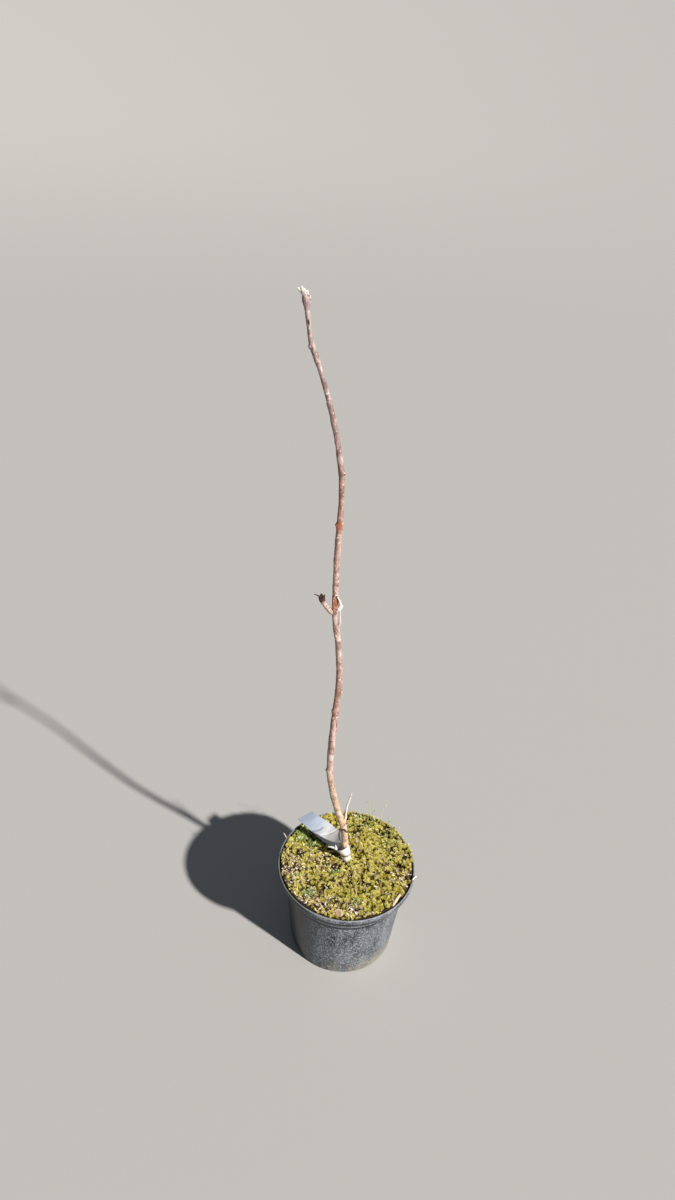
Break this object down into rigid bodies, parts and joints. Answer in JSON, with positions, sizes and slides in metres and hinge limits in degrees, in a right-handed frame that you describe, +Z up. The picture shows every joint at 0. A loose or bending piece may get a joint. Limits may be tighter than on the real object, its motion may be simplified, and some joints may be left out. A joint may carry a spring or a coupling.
{
  "type": "potted sapling",
  "caption": "Bare, cut-back young tree with a slender leaning stem and short pruned spurs, standing in a mossy root ball in a round plastic nursery pot with a blank label at its foot",
  "frame": {"origin": "Centre of the pot's flat underside, on the floor", "axes": "+Z up along the pot's axis; the front faces -Y and +X is to its right, so the stem leans to the left, along -X"},
  "size_m": [0.28, 0.28, 1.3096],
  "materials": {
    "pot_plastic": "satin",
    "compost": "matte",
    "moss": "matte",
    "bark": "matte",
    "spur_bark": "satin",
    "pale_wood": "matte",
    "twig": "matte",
    "label_plastic": "satin"
  },
  "bodies": {
    "root": {"pot": "pot_plastic", "root_ball": "compost", "trunk": "bark", "spur_left": "spur_bark", "spur_right": "pale_wood", "foot_twig": "twig", "top_snag": "pale_wood", "label_collar": "label_plastic", "label_card": "label_plastic", "moss_cushion_01": "moss", "moss_cushion_02": "moss", "moss_cushion_03": "moss", "moss_cushion_04": "moss", "moss_cushion_05": "moss", "moss_cushion_06": "moss", "moss_cushion_07": "moss", "moss_cushion_08": "moss", "moss_cushion_09": "moss", "moss_cushion_10": "moss", "moss_cushion_11": "moss", "moss_cushion_12": "moss", "moss_cushion_13": "moss", "moss_cushion_14": "moss", "moss_cushion_15": "moss", "moss_cushion_16": "moss", "moss_cushion_17": "moss", "moss_cushion_18": "moss", "moss_cushion_19": "moss", "moss_cushion_20": "moss", "moss_cushion_21": "moss", "moss_cushion_22": "moss"}
  },
  "joints": []
}
